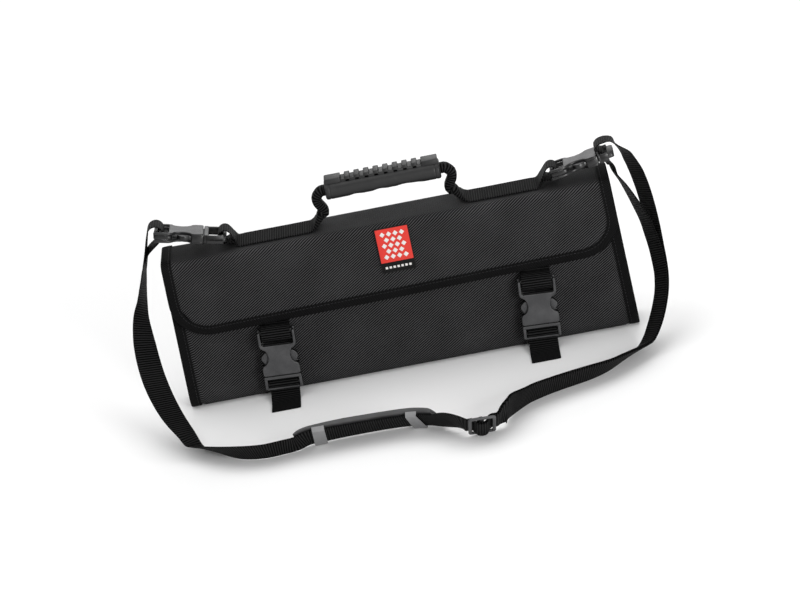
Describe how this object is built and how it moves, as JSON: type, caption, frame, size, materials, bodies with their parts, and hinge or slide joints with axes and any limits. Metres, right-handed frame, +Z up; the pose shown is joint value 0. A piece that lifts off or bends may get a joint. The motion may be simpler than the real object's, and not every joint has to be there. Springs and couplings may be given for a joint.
{
  "type": "chef knife roll",
  "caption": "Fabric knife roll, closed and standing, with a buckled flap, a moulded carry grip and a padded shoulder strap that lies round its front.",
  "frame": {"origin": "middle of the flat strip under the folded bottom edge, on the surface that the roll stands on", "axes": "+X along the roll to the end where the shoulder strap is doubled, -Y out of the front with the flap and closures, +Z up towards the grip"},
  "size_m": [0.5398, 0.2313, 0.2186],
  "materials": {
    "black_nylon": "woven, with a fine diagonal rib",
    "black_binding_tape": "woven tape, sewn along its edge",
    "black_webbing": "ribbed webbing",
    "black_buckle_plastic": "satin",
    "black_grip": "satin",
    "dark_grey_pad": "matt",
    "label_red": "woven label, red with a black border and a white lattice"
  },
  "bodies": {
    "root": {"body": "black_nylon", "body_binding_left": "black_binding_tape", "body_binding_right": "black_binding_tape", "flap": "black_nylon", "flap_binding": "black_binding_tape", "label": "label_red", "front_left_female_buckle": "black_buckle_plastic", "front_left_male_buckle": "black_buckle_plastic", "flap_strap_left": "black_webbing", "base_strap_left": "black_webbing", "front_right_female_buckle": "black_buckle_plastic", "front_right_male_buckle": "black_buckle_plastic", "flap_strap_right": "black_webbing", "base_strap_right": "black_webbing", "top_left_female_buckle": "black_buckle_plastic", "top_left_male_buckle": "black_buckle_plastic", "top_right_female_buckle": "black_buckle_plastic", "top_right_male_buckle": "black_buckle_plastic", "carry_webbing": "black_webbing", "grip": "black_grip", "shoulder_strap": "black_webbing", "strap_slider": "black_buckle_plastic", "shoulder_pad": "dark_grey_pad"}
  },
  "joints": []
}
